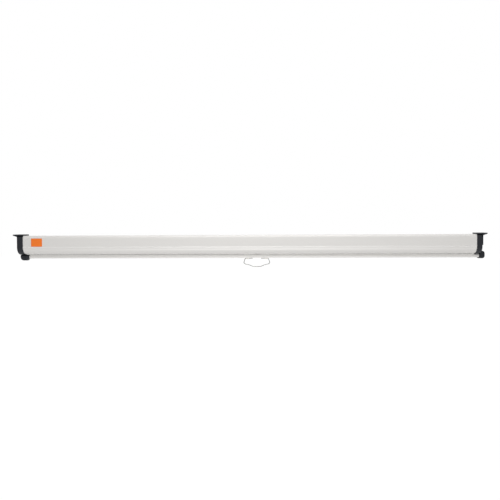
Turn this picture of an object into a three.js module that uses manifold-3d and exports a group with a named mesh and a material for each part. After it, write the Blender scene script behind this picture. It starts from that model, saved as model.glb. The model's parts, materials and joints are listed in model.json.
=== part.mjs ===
// Pull-down projector screen for a wall or a ceiling, with the screen wound up in its casing.
// Sizes are in millimetres. X runs to the right, Y towards the wall and Z up.
// The origin is midway between the brackets, in the plane of the wall and of the ceiling.
import * as THREE from 'three';
import { mergeVertices } from 'three/addons/utils/BufferGeometryUtils.js';
import Module from 'manifold-3d';

const wasm = await Module();
wasm.setup();

// Clearances and cuts
const fit = 0.3;
const running = 0.5;
const overrun = 1;

// Casing extrusion
const casingLength = 1598;
const casingWall = 1.6;
const faceTopRadius = 9;
const backRadius = 2;
const lowerCurveHeight = 25;
const beadHeight = 4.6;
const beadProud = 1;
const lipWidth = 1.6;
const lipHeight = 4;
const lipDrop = 1.5;
const slotWidth = 15;
const channelRadius = 3.2;
const backChannelDrop = 29;

// End caps
const capProud = 1.5;
const capWidth = 19;
const capFloor = 3;
const capRim = 2.2;
const rebateDepth = 3;
const wallGap = 1;
const screwBossWall = 1.6;
const axleBossWall = 1.7;

// Brackets
const plateThickness = 3.5;
const plateReach = 17;
const legThickness = 2;
const legEnd = 8;
const gussetReach = 14.5;
const gussetDrop = 5;
const mountSlotWidth = 5.4;
const mountSlotLength = 16;
const ceilingSlotShares = [0.26, 0.74];
const wallSlotShare = 0.56;

// Case screws
const screwRadius = 1.4;
const screwHeadRadius = 2.8;
const screwHeadHeight = 2.2;
const screwLength = 30;

// Roller and screen, with the room that the roll has in the casing
const wrapDepth = 5;
const rollFrontRoom = 7.5;
const rollBackRoom = 16.5;
const rollTopRoom = 9;
const rollBottomRoom = 17.5;
const fabricThickness = 0.4;
const fabricMargin = 20;
const tubeRadius = 15;
const tubeWall = 1.2;
const tubeEndRoom = 9;
const plugFlange = 3;
const plugSpigot = 25;

// Spindle, spring and lock at the left end
const spindleRadius = 4;
const tangThickness = 4;
const bossSetback = 1;
const discWall = 1;
const discThickness = 3.6;
const notchWidth = 4.8;
const notchDepth = 1.7;
const clipThickness = 1.2;
const clipReach = 1.8;
const housingWall = 1.6;
const housingDepth = 5.5;
const springPlugWidth = 12;
const springPlugGap = 3;
const springTurns = 14;
const springPitch = 8;
const springRadius = 9.5;
const springWire = 1.1;
const anchorWidth = 14;
const anchorRadius = 11;
const spindleEnd = 3;
const pawlThickness = 4;
const pawlBossRadius = 2.4;
const pawlArmHeight = 2.6;
const pawlToothWidth = 2.4;
const pawlToothLength = 1.6;
const pawlReach = 9.4;
const pawlPinRadius = 1.2;
const pawlPinSeat = 2.4;

// Plain bearing at the right end
const idlePinRadius = 4;
const idlePinSeat = 18;
const bushRadius = 7;
const bushFlangeRadius = 9;
const bushFlange = 1.4;

// Bottom bar
const barHeight = 13.5;
const barDepth = 20;
const barWall = 1.4;
const barGap = 0.5;
const barSetback = 12.9;
const shoulderGap = 0.8;
const grooveRadius = 3;
const grooveWall = 1.2;
const grooveMouth = 1.8;
const hemRodRadius = 2.2;
const barSpigot = 12;

// Caps of the bottom bar
const barCapDepth = 24;
const barCapEdge = 5;
const leftCapLength = 31.9;
const leftCapHeight = 20.5;
const leftCapCorner = 11;
const leftCapNose = 7.4;
const leftCapTopInset = 1.2;
const leftCapBand = 16;
const leftCapGroove = 0.8;
const rightCapLength = 19;
const rightCapTuck = 2.1;
const rightCapHeight = 16.5;
const rightCapShoulder = 9.4;
const rightCapCorner = 7.5;
const rightCapLip = 2.8;

// Pull handle and its clips
const handleShift = 19.6;
const wireRadius = 1.25;
const handleWidth = 93;
const handleTopInset = 5.3;
const handleFoot = 26;
const handleDrop = 29.5;
const handleShoulderDrop = 15.1;
const handleHipDrop = 20.1;
const handleHipInset = 4.5;
const handleTipWidth = 30;
const handleBend = 3;
const clipWidth = 11.5;
const clipEndRoom = 2.25;
const clipWall = 1.2;
const clipBaseThickness = 1.2;
const clipBaseReach = 8.5;
const clipScrewRadius = 1.1;
const clipScrewHead = 1.9;
const clipScrewHeadHeight = 1.1;
const clipScrewLength = 4;

// Label on the face
const labelWidth = 39.5;
const labelThickness = 0.8;
const labelCorner = 2.5;
const labelSetback = 29.5;
const labelTopGap = 0.2;
const labelBeadGap = 1;

// Half the facets of a circle, or of each arc in an outline
const fine = 20;
const medium = 12;
const coarse = 7;
const curve = 4;
const corner = 2;
const latheFacets = 12;
const bendSteps = 3;
const wireSides = 8;
const springSides = 5;
const springSteps = 8;

// Sizes and places worked out from the sizes above
const rollRadius = tubeRadius + wrapDepth;
const casingDepth = rollBackRoom + 2 * rollRadius + rollFrontRoom;
const casingHeight = rollTopRoom + 2 * rollRadius + rollBottomRoom;
const screwHole = screwRadius + fit;
const casingTop = -plateThickness - capProud;
const casingBottom = casingTop - casingHeight;
const casingBack = -wallGap - capProud;
const casingFront = casingBack - casingDepth;
const capBottom = casingBottom - capProud;
const capFront = casingFront - capProud;
const casingHalf = casingLength / 2;
const capInner = casingHalf - rebateDepth;
const capOuter = capInner + capWidth;
const capFloorInner = capOuter - capFloor;
const legOuter = capOuter + legThickness;
const legBottom = casingTop - backChannelDrop - legEnd;
const plateTip = capOuter + plateReach;
const rollerY = casingBack - rollBackRoom - rollRadius;
const rollerZ = casingTop - rollTopRoom - rollRadius;
const tubeHalf = casingHalf - tubeEndRoom;
const fabricHalf = tubeHalf - fabricMargin;
const flangeOuter = tubeHalf + plugFlange;
const pawlInner = flangeOuter + running;
const pawlOuter = pawlInner + pawlThickness;
const clipInner = pawlOuter + fit;
const clipOuter = clipInner + clipThickness;
const bossInner = clipOuter + bossSetback;
const bossRadius = bushRadius + fit + axleBossWall;
const fabricY = rollerY + rollRadius + fit;
const barY = fabricY + fabricThickness / 2;
const barTop = capBottom - barGap;
const barBottom = barTop - barHeight;
const barRight = capOuter - rightCapTuck;
const barLeft = barSetback - casingHalf;
const grooveZ = barTop - barWall - grooveRadius;
const slotFront = barY - slotWidth / 2;
const slotBack = barY + slotWidth / 2;
const lowerCurveDepth = slotFront - lipWidth - casingFront;
const beadZ = casingBottom + lowerCurveHeight;
const channelOffset = (faceTopRadius - casingWall / 2 - channelRadius) * Math.SQRT1_2;
const channels = [
  [casingFront + faceTopRadius - channelOffset, casingTop - faceTopRadius + channelOffset, 'front'],
  [-plateThickness - fit - screwHeadRadius, casingTop - backChannelDrop, 'back'],
];
const gussetBack = channels[0][0] - screwHeadRadius - fit;

// Finishes
const finish = (color, roughness, metalness) => {
  return new THREE.MeshStandardMaterial({ color, roughness, metalness });
};
const silver = finish('#d6d4d0', 0.42, 0.35);
const black = finish('#2b2c30', 0.55, 0);
const blackSteel = finish('#2d2f34', 0.5, 0.3);
const orange = finish('#ec7323', 0.5, 0);
const steel = finish('#b7b8b6', 0.3, 0.9);
const wireSteel = finish('#9d9d99', 0.28, 0.9);
const springSteel = finish('#6f7072', 0.4, 0.9);
const brass = finish('#b59a55', 0.35, 0.9);
const whitePlastic = finish('#ece8e2', 0.5, 0);
const greyPlastic = finish('#8c8f92', 0.6, 0);
const tubeMetal = finish('#c4c6c8', 0.45, 0.6);
const screenCloth = finish('#e9e9e6', 0.9, 0);
const screenBorder = finish('#232323', 0.9, 0);

// Turning shapes into solids and back
const solidOf = (geometry) => {
  const plain = geometry.clone();
  plain.deleteAttribute('normal');
  plain.deleteAttribute('uv');
  const welded = mergeVertices(plain);
  const vertProperties = Float32Array.from(welded.attributes.position.array);
  const triVerts = Uint32Array.from(welded.index.array);
  return new wasm.Manifold(new wasm.Mesh({ numProp: 3, vertProperties, triVerts }));
};

const geometryOf = (solid) => {
  const mesh = solid.getMesh();
  const geometry = new THREE.BufferGeometry();
  geometry.setAttribute('position', new THREE.BufferAttribute(mesh.vertProperties, 3));
  geometry.setIndex(new THREE.BufferAttribute(mesh.triVerts, 1));
  geometry.computeVertexNormals();
  return geometry;
};

const joined = (first, ...others) => {
  return others.reduce((whole, other) => whole.add(solidOf(other)), solidOf(first));
};
const cut = (solid, ...tools) => tools.reduce((rest, tool) => rest.subtract(solidOf(tool)), solid);

// Extrusions. Outlines are (y, z) along X, (x, z) along Y and (x, y) along Z
const xAxis = new THREE.Vector3(1, 0, 0);
const yAxis = new THREE.Vector3(0, 1, 0);
const zAxis = new THREE.Vector3(0, 0, 1);

const extruded = (shape, depth, facets) => {
  return new THREE.ExtrudeGeometry(shape, { depth, bevelEnabled: false, curveSegments: facets });
};

const alongX = (shape, [from, to], facets = medium) => {
  const turn = new THREE.Matrix4().makeBasis(yAxis, zAxis, xAxis).setPosition(from, 0, 0);
  return extruded(shape, to - from, facets).applyMatrix4(turn);
};

const alongY = (shape, [from, to], facets = medium) => {
  const turn = new THREE.Matrix4().makeBasis(xAxis, zAxis, yAxis.clone().negate()).setPosition(0, to, 0);
  return extruded(shape, to - from, facets).applyMatrix4(turn);
};

const alongZ = (shape, [from, to], facets = medium) => {
  return extruded(shape, to - from, facets).translate(0, 0, from);
};

const block = (low, high) => {
  const size = high.map((value, i) => value - low[i]);
  const middle = high.map((value, i) => (value + low[i]) / 2);
  return new THREE.BoxGeometry(...size).translate(...middle);
};

// Flat outlines
const polygon = (points) => new THREE.Shape(points.map(([a, b]) => new THREE.Vector2(a, b)));

const circle = (a, b, radius) => new THREE.Shape().absarc(a, b, radius, 0, Math.PI * 2);

const ring = (a, b, outer, inner) => {
  const shape = circle(a, b, outer);
  shape.holes.push(circle(a, b, inner));
  return shape;
};

const roundedBox = (a0, b0, a1, b1, radius) => {
  const shape = new THREE.Shape();
  shape.absarc(a1 - radius, b0 + radius, radius, -Math.PI / 2, 0);
  shape.absarc(a1 - radius, b1 - radius, radius, 0, Math.PI / 2);
  shape.absarc(a0 + radius, b1 - radius, radius, Math.PI / 2, Math.PI);
  shape.absarc(a0 + radius, b0 + radius, radius, Math.PI, Math.PI * 1.5);
  return shape;
};

// Casing outline in (y, z), grown outwards, or drawn in where grow is negative
const casingOutline = (grow) => {
  const back = casingBack - backRadius;
  const low = casingBottom + backRadius;
  const high = casingTop - backRadius;
  const backCorner = Math.max(backRadius + grow, fit);
  const inset = backRadius + grow - backCorner;
  const faceY = casingFront + faceTopRadius;
  const faceZ = casingTop - faceTopRadius;
  const shape = new THREE.Shape();
  shape.absarc(back + inset, low - inset, backCorner, -Math.PI / 2, 0);
  shape.absarc(back + inset, high + inset, backCorner, 0, Math.PI / 2);
  shape.absarc(faceY, faceZ, faceTopRadius + grow, Math.PI / 2, Math.PI);
  shape.absellipse(
    casingFront + lowerCurveDepth,
    casingBottom + lowerCurveHeight,
    lowerCurveDepth + grow,
    lowerCurveHeight + grow,
    Math.PI,
    Math.PI * 1.5,
  );
  return shape;
};

// The part
const group = new THREE.Group();

const piece = (name, geometry, material) => {
  const mesh = new THREE.Mesh(geometry, material);
  mesh.name = name;
  group.add(mesh);
};

const sides = [
  { name: 'left', sign: -1 },
  { name: 'right', sign: 1 },
];

// A range along X given outwards from the middle
const outwards = ({ sign }, inner, outer) => (sign > 0 ? [inner, outer] : [-outer, -inner]);

// Casing: one extrusion with a bead, a slot for the screen, two lips and two screw channels.
// Below the casing the lips stop short of the end caps.
const casingShell = () => {
  const span = [-casingHalf, casingHalf];
  const cutSpan = [-casingHalf - overrun, casingHalf + overrun];
  const walls = casingOutline(0);
  walls.holes.push(casingOutline(-casingWall));
  const bead = new THREE.Shape().absellipse(casingFront, beadZ, beadProud, beadHeight / 2, 0, Math.PI * 2);
  const beadSpan = [-capInner + fit, capInner - fit];
  const lips = [slotFront - lipWidth, slotBack].flatMap((y) => [
    block([span[0], y, casingBottom], [span[1], y + lipWidth, casingBottom + lipHeight]),
    block([beadSpan[0], y, casingBottom - lipDrop], [beadSpan[1], y + lipWidth, casingBottom + lipHeight]),
  ]);
  const tubes = channels.map(([y, z]) => alongX(circle(y, z, channelRadius), span, coarse));
  const [webY, webZ] = channels[1];
  const webHalf = casingWall / 2;
  const web = block([span[0], webY, webZ - webHalf], [span[1], casingBack - webHalf, webZ + webHalf]);
  const whole = joined(alongX(walls, span, curve), alongX(bead, beadSpan, coarse), ...lips, ...tubes, web);
  const slotLow = casingBottom - overrun;
  const slotHigh = casingBottom + lipHeight + overrun;
  return geometryOf(cut(
    whole,
    block([cutSpan[0], slotFront, slotLow], [cutSpan[1], slotBack, slotHigh]),
    ...channels.map(([y, z]) => alongX(circle(y, z, screwHole), cutSpan, coarse)),
  ));
};

// End cap: a moulded cup with a rebate for the casing, screw bosses and a boss on the roller's axis
const endCap = (side, bossBore) => {
  const hollow = casingOutline(-casingWall - capRim + capProud);
  const cup = cut(
    solidOf(alongX(casingOutline(capProud), outwards(side, capInner, capOuter), curve)),
    alongX(casingOutline(fit), outwards(side, capInner - overrun, casingHalf + fit), curve),
    alongX(hollow, outwards(side, capInner, capFloorInner), curve),
  );
  const bosses = channels.map(([y, z]) => {
    const width = screwHole + screwBossWall;
    return alongX(circle(y, z, width), outwards(side, casingHalf + running, capFloorInner + fit), coarse);
  });
  const axle = alongX(circle(rollerY, rollerZ, bossRadius), outwards(side, bossInner, capFloorInner + fit));
  const whole = [...bosses, axle].reduce((solid, boss) => solid.add(solidOf(boss)), cup);
  const holes = channels.map(([y, z]) => {
    return alongX(circle(y, z, screwHole), outwards(side, casingHalf, capOuter + overrun), coarse);
  });
  return geometryOf(cut(whole, ...holes, bossBore));
};

// Bracket: ceiling plate over the cap, leg on the cap's outer face, wall flange and a gusset
const bracket = (side) => {
  const { sign } = side;
  const flangeMiddle = sign * (legOuter + plateTip) / 2;
  const plateShape = roundedBox(0, capFront, plateTip - capInner, 0, backRadius);
  const plate = alongZ(plateShape, [-plateThickness, 0], corner);
  plate.translate(sign > 0 ? capInner : -plateTip, 0, 0);
  const [legFrom, legTo] = outwards(side, capOuter, legOuter);
  const [flangeFrom, flangeTo] = outwards(side, capOuter, plateTip);
  const leg = block([legFrom, capFront, legBottom], [legTo, 0, 0]);
  const wallFlange = block([flangeFrom, -plateThickness, legBottom], [flangeTo, 0, 0]);
  const gusset = alongY(
    polygon([
      [sign * capOuter, -plateThickness / 2],
      [sign * (legOuter + gussetReach), -plateThickness / 2],
      [sign * (legOuter + gussetReach), -plateThickness],
      [sign * legOuter, -plateThickness - gussetDrop],
      [sign * capOuter, -plateThickness - gussetDrop],
    ]),
    [capFront, gussetBack],
  );
  const half = mountSlotWidth / 2;
  const reach = mountSlotLength / 2;
  const depth = [-plateThickness - overrun, overrun];
  const ceilingSlots = ceilingSlotShares.map((share) => {
    const y = capFront * share;
    const slot = roundedBox(flangeMiddle - half, y - reach, flangeMiddle + half, y + reach, half);
    return alongZ(slot, depth, curve);
  });
  const wallZ = legBottom * wallSlotShare;
  const wallSlot = roundedBox(flangeMiddle - half, wallZ - reach, flangeMiddle + half, wallZ + reach, half);
  const holes = channels.map(([y, z]) => {
    return alongX(circle(y, z, screwHole), outwards(side, capOuter - overrun, legOuter + overrun), coarse);
  });

  // The left leg covers the whole cap, and the right one stops above the bar cap's shoulder
  const cover = alongX(casingOutline(capProud), [legFrom, legTo], curve);
  const whole = joined(plate, leg, wallFlange, gusset, ...(sign < 0 ? [cover] : []));
  return geometryOf(cut(whole, ...ceilingSlots, alongY(wallSlot, depth, curve), ...holes));
};

// Pan head screw through bracket, cap and casing
const caseScrew = (side, [y, z]) => {
  const profile = [
    [0, -screwLength],
    [screwRadius, -screwLength],
    [screwRadius, 0],
    [screwHeadRadius, 0],
    [screwHeadRadius, screwHeadHeight / 2],
    [screwHeadRadius - screwHeadHeight / 2, screwHeadHeight],
    [0, screwHeadHeight],
  ];
  const screw = new THREE.LatheGeometry(profile.map(([r, h]) => new THREE.Vector2(r, h)), latheFacets);
  screw.rotateZ(-side.sign * Math.PI / 2);
  return screw.translate(side.sign * legOuter, y, z);
};

const labelPlate = () => {
  const left = -capInner + labelSetback;
  const top = casingTop - faceTopRadius - labelTopGap;
  const low = beadZ + beadHeight / 2 + labelBeadGap;
  const shape = roundedBox(left, low, left + labelWidth, top, labelCorner);
  return alongY(shape, [casingFront - labelThickness, casingFront], corner);
};

// Bore of the left boss, flat sided to hold the spindle still
const tangBore = () => {
  const slot = tangThickness / 2 + fit;
  const shape = roundedBox(
    rollerY - spindleRadius - fit,
    rollerZ - slot,
    rollerY + spindleRadius + fit,
    rollerZ + slot,
    fit,
  );
  return alongX(shape, [-capFloorInner, -bossInner + overrun], corner);
};

const bushBore = () => {
  return alongX(circle(rollerY, rollerZ, bushRadius + fit), [bossInner - overrun, capFloorInner]);
};

piece('casing_shell', casingShell(), silver);
piece('end_cap_left', endCap(sides[0], tangBore()), black);
piece('end_cap_right', endCap(sides[1], bushBore()), black);
for (const side of sides) {
  piece(`bracket_${side.name}`, bracket(side), blackSteel);
  for (const channel of channels) {
    piece(`case_screw_${side.name}_${channel[2]}`, caseScrew(side, channel), steel);
  }
}
piece('label_plate', labelPlate(), orange);

// Places along the spindle, as distances left of the middle
const discInner = pawlOuter - discThickness;
const discRadius = spindleRadius + fit + discWall + notchDepth;
const springPlugOuter = tubeHalf - plugSpigot - springPlugGap;
const springPlugInner = springPlugOuter - springPlugWidth;
const springOuter = springPlugInner - fit - springWire;
const springInner = springOuter - springTurns * springPitch;
const anchorOuter = springInner - springWire - fit;
const anchorInner = anchorOuter - anchorWidth;
const spindleInner = anchorInner - spindleEnd;

// Spindle: a round rod with two flats on the end that the left cap holds
const spindleShaft = () => {
  const outer = -capFloorInner + fit;
  const flatEnd = -bossInner + fit;
  const rod = solidOf(alongX(circle(rollerY, rollerZ, spindleRadius), [outer, -spindleInner], coarse));
  const reach = spindleRadius + overrun;
  const flats = [1, -1].map((way) => {
    const near = rollerZ + way * tangThickness / 2;
    const far = rollerZ + way * reach;
    return block(
      [outer - overrun, rollerY - reach, Math.min(near, far)],
      [flatEnd, rollerY + reach, Math.max(near, far)],
    );
  });
  return geometryOf(cut(rod, ...flats));
};

// Disc with two notches for the pawls, held still on the spindle
const notchedDisc = () => {
  const disc = ring(rollerY, rollerZ, discRadius, spindleRadius + fit);
  const half = notchWidth / 2;
  const notches = [1, -1].map((way) => {
    const near = rollerZ + way * (discRadius - notchDepth);
    const far = rollerZ + way * (discRadius + overrun);
    return block(
      [-pawlOuter - overrun, rollerY - half, Math.min(near, far)],
      [-discInner + overrun, rollerY + half, Math.max(near, far)],
    );
  });
  return geometryOf(cut(solidOf(alongX(disc, [-pawlOuter, -discInner])), ...notches));
};

const shaftClip = () => {
  const shape = ring(rollerY, rollerZ, spindleRadius + clipReach, spindleRadius + fit);
  return alongX(shape, [-clipOuter, -clipInner], coarse);
};

const springAnchor = () => {
  const shape = ring(rollerY, rollerZ, anchorRadius, spindleRadius + fit);
  return alongX(shape, [-anchorOuter, -anchorInner]);
};

// Tube swept through rings, each given by its middle and two directions across the tube
const sweptTube = (rings, radius, steps) => {
  const points = rings.flatMap(({ middle, across, up }) => {
    return Array.from({ length: steps }, (_, i) => {
      const angle = (i / steps) * Math.PI * 2;
      const out = middle.clone().addScaledVector(across, Math.cos(angle) * radius);
      return out.addScaledVector(up, Math.sin(angle) * radius).toArray();
    });
  });
  const last = (rings.length - 1) * steps;
  const index = [];
  for (let r = 0; r < rings.length - 1; r += 1) {
    for (let i = 0; i < steps; i += 1) {
      const a = r * steps + i;
      const b = r * steps + ((i + 1) % steps);
      index.push(a, b, a + steps, b, b + steps, a + steps);
    }
  }
  for (let i = 1; i < steps - 1; i += 1) {
    index.push(0, i + 1, i, last, last + i, last + i + 1);
  }
  const geometry = new THREE.BufferGeometry();
  geometry.setAttribute('position', new THREE.Float32BufferAttribute(points.flat(), 3));
  geometry.setIndex(index);
  geometry.computeVertexNormals();
  return geometry;
};

// Coil spring round the spindle, between the spring plug and the anchor
const torsionSpring = () => {
  const count = springTurns * springSteps;
  const rings = Array.from({ length: count + 1 }, (_, i) => {
    const angle = (i / springSteps) * Math.PI * 2;
    const out = new THREE.Vector3(0, Math.cos(angle), Math.sin(angle));
    const round = new THREE.Vector3(0, -Math.sin(angle), Math.cos(angle));
    const along = round.multiplyScalar(springRadius).setX(springPitch / (Math.PI * 2)).normalize();
    const x = -springOuter + (i / springSteps) * springPitch;
    const middle = new THREE.Vector3(x, rollerY, rollerZ).addScaledVector(out, springRadius);
    return { middle, across: out, up: along.cross(out) };
  });
  return sweptTube(rings, springWire, springSides);
};

// Bush with a flange in the right cap's boss
const bearingBush = () => {
  const shape = ring(rollerY, rollerZ, bushRadius, idlePinRadius + running);
  const flange = ring(rollerY, rollerZ, bushFlangeRadius, idlePinRadius + running);
  const inner = bossInner - fit;
  const whole = joined(
    alongX(shape, [inner - bushFlange, capFloorInner - fit]),
    alongX(flange, [inner - bushFlange, inner]),
  );
  return geometryOf(whole);
};

piece('spindle_shaft', spindleShaft(), steel);
piece('notched_disc', notchedDisc(), steel);
piece('shaft_clip', shaftClip(), springSteel);
piece('spring_anchor', springAnchor(), greyPlastic);
piece('torsion_spring', torsionSpring(), springSteel);
piece('bearing_bush', bearingBush(), brass);

// Pawls hang on pins in the left plug. The upper one is turned half a turn to make the lower one
const pawlPivotRise = discRadius + 2 * fit + pawlToothLength + pawlArmHeight / 2;
const pawlPivotY = -(pawlReach - pawlToothWidth / 2) + fit;
const housingInner = Math.hypot(pawlPivotY, pawlPivotRise) + pawlBossRadius + fit;
const plugFlangeRadius = housingInner + housingWall;
const pawls = [
  { name: 'upper', way: 1 },
  { name: 'lower', way: -1 },
];
const pawlPivot = ({ way }) => [rollerY + way * pawlPivotY, rollerZ + way * pawlPivotRise];

const rollerPlugLeft = () => {
  const flange = ring(rollerY, rollerZ, plugFlangeRadius, spindleRadius + running);
  const rim = ring(rollerY, rollerZ, plugFlangeRadius, housingInner);
  const spigot = ring(rollerY, rollerZ, tubeRadius - tubeWall - fit, spindleRadius + running);
  const whole = joined(
    alongX(flange, [-flangeOuter, -tubeHalf]),
    alongX(rim, [-flangeOuter - housingDepth, -flangeOuter + overrun]),
    alongX(spigot, [-tubeHalf - overrun, -tubeHalf + plugSpigot]),
  );
  const seatSpan = [-flangeOuter - overrun, -flangeOuter + pawlPinSeat];
  const seats = pawls.map((pawl) => {
    return alongX(circle(...pawlPivot(pawl), pawlPinRadius + fit), seatSpan, coarse);
  });
  return geometryOf(cut(whole, ...seats));
};

const rollerPlugRight = () => {
  const flange = circle(rollerY, rollerZ, plugFlangeRadius);
  const spigot = circle(rollerY, rollerZ, tubeRadius - tubeWall - fit);
  const whole = joined(
    alongX(flange, [tubeHalf, flangeOuter]),
    alongX(spigot, [tubeHalf - plugSpigot, tubeHalf + overrun]),
  );
  const seat = circle(rollerY, rollerZ, idlePinRadius + fit);
  return geometryOf(cut(whole, alongX(seat, [tubeHalf - idlePinSeat, flangeOuter + overrun])));
};

const springPlug = () => {
  const shape = ring(rollerY, rollerZ, tubeRadius - tubeWall - fit, spindleRadius + running);
  return alongX(shape, [-springPlugOuter, -springPlugInner]);
};

const rollerTube = () => {
  const shape = ring(rollerY, rollerZ, tubeRadius, tubeRadius - tubeWall);
  return alongX(shape, [-tubeHalf + fit, tubeHalf - fit]);
};

const fabricRoll = () => {
  const shape = ring(rollerY, rollerZ, rollRadius, tubeRadius + fit);
  return alongX(shape, [-fabricHalf, fabricHalf], fine);
};

const idlePin = () => {
  const shape = circle(rollerY, rollerZ, idlePinRadius);
  return alongX(shape, [tubeHalf - idlePinSeat, capFloorInner - running]);
};

const pawlPin = (pawl) => {
  const shape = circle(...pawlPivot(pawl), pawlPinRadius);
  return alongX(shape, [-pawlOuter - running, -flangeOuter + pawlPinSeat], coarse);
};

piece('roller_tube', rollerTube(), tubeMetal);
piece('roller_plug_left', rollerPlugLeft(), greyPlastic);
piece('roller_plug_right', rollerPlugRight(), greyPlastic);
piece('spring_plug', springPlug(), greyPlastic);
piece('idle_pin', idlePin(), steel);
piece('fabric_roll', fabricRoll(), screenCloth);

// Pawl: a boss on the pin, an arm over the disc and a tooth at the end of the arm
const lockPawl = (pawl) => {
  const [y, z] = pawlPivot(pawl);
  const span = [-pawlOuter, -pawlInner];
  const half = pawlArmHeight / 2;
  const arm = polygon([
    [y, z - pawl.way * half],
    [y + pawl.way * (pawlReach - pawlToothWidth), z - pawl.way * half],
    [y + pawl.way * (pawlReach - pawlToothWidth), z - pawl.way * (half + pawlToothLength)],
    [y + pawl.way * pawlReach, z - pawl.way * (half + pawlToothLength)],
    [y + pawl.way * pawlReach, z + pawl.way * half],
    [y, z + pawl.way * half],
  ]);
  const whole = joined(alongX(circle(y, z, pawlBossRadius), span, coarse), alongX(arm, span));
  const holeSpan = [span[0] - overrun, span[1] + overrun];
  return geometryOf(cut(whole, alongX(circle(y, z, pawlPinRadius + fit), holeSpan, coarse)));
};

for (const pawl of pawls) {
  piece(`pawl_pin_${pawl.name}`, pawlPin(pawl), steel);
  piece(`lock_pawl_${pawl.name}`, lockPawl(pawl), steel);
}

// Bottom bar section in (y, z), drawn in by a wall for the hollow
const barShares = [[0.68, 0], [0.84, 0.14], [1, 0.42], [0.95, 0.72], [0.82, 0.92], [0.66, 1]];

const barOutline = (inset) => {
  const half = barDepth / 2 - inset;
  const height = barHeight - 2 * inset;
  const front = barShares.map(([out, down]) => [barY - half * out, barTop - inset - height * down]);
  const back = barShares.map(([out, down]) => [barY + half * out, barTop - inset - height * down]);
  return polygon([...front, ...back.reverse()]);
};

const handleX = (barLeft + barRight) / 2 + handleShift;
const handleZ = barBottom - fit - wireRadius;
const handleTopHalf = handleWidth / 2 - handleTopInset;
const handleHipHalf = handleWidth / 2 - handleHipInset;
const clipFromMiddle = handleTopHalf - clipEndRoom - clipWidth / 2;
const clipMiddles = sides.map(({ name, sign }) => [name, handleX + sign * clipFromMiddle]);
const clipScrewY = barY + (wireRadius + fit + clipWall + clipBaseReach) / 2;

// Walls round the groove, which the caps' spigots keep clear of
const grooveWalls = (span, grow) => {
  const outer = grooveRadius + grooveWall + grow;
  const neck = grooveMouth / 2 + grooveWall + grow;
  return [
    alongX(circle(barY, grooveZ, outer), span),
    block([span[0], barY - neck, grooveZ], [span[1], barY + neck, barTop - barWall / 2]),
  ];
};

const barProfile = () => {
  const span = [barLeft, barRight];
  const cutSpan = [barLeft - overrun, barRight + overrun];
  const walls = barOutline(0);
  walls.holes.push(barOutline(barWall));
  const half = grooveMouth / 2;
  const screwDepth = [barBottom - overrun, barBottom + barWall + overrun];
  const screwHoles = clipMiddles.map(([, x]) => {
    return alongZ(circle(x, clipScrewY, clipScrewRadius + fit), screwDepth, coarse);
  });
  return geometryOf(cut(
    joined(alongX(walls, span), ...grooveWalls(span, 0)),
    alongX(circle(barY, grooveZ, grooveRadius), cutSpan),
    block([cutSpan[0], barY - half, grooveZ], [cutSpan[1], barY + half, barTop + overrun]),
    ...screwHoles,
  ));
};

const hemRod = () => alongX(circle(barY, grooveZ, hemRodRadius), [-fabricHalf, fabricHalf]);

// Screen between the roll and the hem rod
const fabricDrop = () => block(
  [-fabricHalf, fabricY, grooveZ + hemRodRadius + fit],
  [fabricHalf, fabricY + fabricThickness, rollerZ],
);

// Part of a bar cap that slides into the bar's hollow
const barSpigotSolid = (from, to) => {
  const span = [Math.min(from, to), Math.max(from, to)];
  return cut(solidOf(alongX(barOutline(barWall + fit), span)), ...grooveWalls(span, fit));
};

const barCapBlock = (silhouette, span, height) => {
  const low = barTop - height;
  const half = barCapDepth / 2;
  const section = roundedBox(barY - half, low, barY + half, silhouette.top, barCapEdge);
  const reach = [barY - half - overrun, barY + half + overrun];
  return solidOf(alongX(section, span, corner)).intersect(solidOf(alongY(silhouette.shape, reach, curve)));
};

// Left cap: rounded outer corner, two bands with a groove between them and a nose on the bar side
const barCapLeft = () => {
  const inner = barLeft - fit;
  const outer = inner - leftCapLength;
  const low = barTop - leftCapHeight;
  const shape = new THREE.Shape();
  shape.moveTo(inner - leftCapTopInset, barTop);
  shape.lineTo(outer, barTop);
  shape.absarc(outer + leftCapCorner, low + leftCapCorner, leftCapCorner, Math.PI, Math.PI * 1.5);
  shape.lineTo(inner - leftCapNose, low);
  shape.lineTo(inner, (barTop + low) / 2);
  const body = barCapBlock({ shape, top: barTop }, [outer, inner], leftCapHeight);
  const bandEnd = outer + leftCapBand;
  const half = barCapDepth / 2;
  const grooveOutline = roundedBox(
    barY - half - overrun,
    low - overrun,
    barY + half + overrun,
    barTop + overrun,
    barCapEdge,
  );
  grooveOutline.holes.push(roundedBox(
    barY - half + leftCapGroove,
    low + leftCapGroove,
    barY + half - leftCapGroove,
    barTop - leftCapGroove,
    barCapEdge - leftCapGroove,
  ));
  const groove = alongX(grooveOutline, [bandEnd, bandEnd + leftCapGroove], corner);
  return geometryOf(cut(body, groove).add(barSpigotSolid(inner - leftCapNose, barLeft + barSpigot)));
};

// Right cap: its shoulder stands up outside the end cap, and a lip reaches under the bar
const barCapRight = () => {
  const inner = barRight + fit;
  const outer = inner + rightCapLength;
  const low = barTop - rightCapHeight;
  const high = barTop + rightCapShoulder;
  const shoulder = capOuter + shoulderGap;
  const lipTop = barBottom - fit;
  const shape = new THREE.Shape();
  shape.moveTo(shoulder, barTop);
  shape.lineTo(inner, barTop);
  shape.lineTo(inner, lipTop);
  shape.lineTo(inner - rightCapLip, lipTop);
  shape.lineTo(inner - rightCapLip, low);
  shape.absarc(outer - rightCapCorner, low + rightCapCorner, rightCapCorner, -Math.PI / 2, 0);
  shape.absarc(outer - rightCapCorner, high - rightCapCorner, rightCapCorner, 0, Math.PI / 2);
  shape.lineTo(shoulder, high);
  const body = barCapBlock({ shape, top: high }, [inner - rightCapLip, outer], rightCapHeight);
  return geometryOf(body.add(barSpigotSolid(barRight - barSpigot, inner + overrun)));
};

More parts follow.
